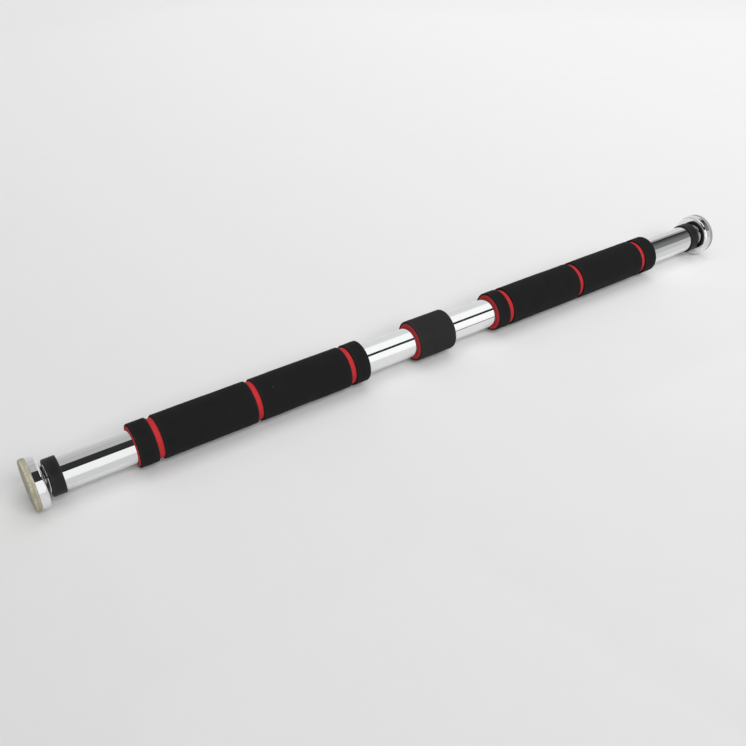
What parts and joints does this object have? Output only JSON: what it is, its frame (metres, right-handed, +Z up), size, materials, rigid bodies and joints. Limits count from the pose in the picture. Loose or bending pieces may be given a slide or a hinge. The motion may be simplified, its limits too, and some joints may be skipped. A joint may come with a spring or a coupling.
{
  "type": "pull up bar",
  "caption": "Telescopic doorway pull up bar: chromed tube with two foam grips and a middle foam ring, and threaded tubes that wind padded round feet out against the frame.",
  "frame": {"origin": "on the bar's axis, half way between the two pad faces", "axes": "+X along the bar from the left foot to the right foot, +Z up, +Y level and away from the side that is seen first"},
  "size_m": [0.854, 0.0486, 0.0486],
  "materials": {
    "chrome": "bright chrome plate on steel tube, mirror smooth, faint handling smudges",
    "plain_steel": "plain turned steel, zinc plated",
    "collar_plastic": "moulded black plastic, satin",
    "nylon": "natural nylon, satin",
    "pad_rubber": "olive beige anti-slip rubber, matte, fine moulded grain",
    "red_foam": "fine closed-cell foam, matte, red",
    "black_foam": "fine closed-cell foam, matte, black"
  },
  "bodies": {
    "bar": {"main_tube": "chrome", "end_collar_left": "collar_plastic", "end_collar_right": "collar_plastic", "thread_nut_left": "plain_steel", "thread_nut_right": "plain_steel", "grip_core_left": "red_foam", "grip_core_right": "red_foam", "grip_left_band_inner": "black_foam", "grip_left_sleeve_inner": "black_foam", "grip_left_sleeve_outer": "black_foam", "grip_left_band_outer": "black_foam", "grip_right_band_inner": "black_foam", "grip_right_sleeve_inner": "black_foam", "grip_right_sleeve_outer": "black_foam", "grip_right_band_outer": "black_foam", "ring_core": "red_foam", "ring_shell": "black_foam"},
    "guide_left": {"guide_bush_left": "nylon"},
    "foot_left": {"screw_tube_left": "chrome", "stop_ring_left": "plain_steel", "end_plug_left": "plain_steel", "foot_cup_left": "chrome", "foot_screw_left": "plain_steel", "foot_pad_left": "pad_rubber"},
    "guide_right": {"guide_bush_right": "nylon"},
    "foot_right": {"screw_tube_right": "chrome", "stop_ring_right": "plain_steel", "end_plug_right": "plain_steel", "foot_cup_right": "chrome", "foot_screw_right": "plain_steel", "foot_pad_right": "pad_rubber"}
  },
  "joints": [
    {"name": "slide_left", "type": "slide", "parent": "bar", "child": "guide_left", "axis": [-1, 0, 0], "range_m": [-0.003, 0.223]},
    {"name": "turn_left", "type": "hinge", "parent": "guide_left", "child": "foot_left", "pos_m": [-0.4, 0, 0], "axis": [1, 0, 0], "range_deg": [-360, 26760]},
    {"name": "slide_right", "type": "slide", "parent": "bar", "child": "guide_right", "axis": [1, 0, 0], "range_m": [-0.003, 0.223]},
    {"name": "turn_right", "type": "hinge", "parent": "guide_right", "child": "foot_right", "pos_m": [0.4, 0, 0], "axis": [1, 0, 0], "range_deg": [-360, 26760]}
  ],
  "couplings": [
    {"joint": "slide_left", "follows": "turn_left", "m_per_rad": 0.00047746},
    {"joint": "slide_right", "follows": "turn_right", "m_per_rad": 0.00047746}
  ]
}
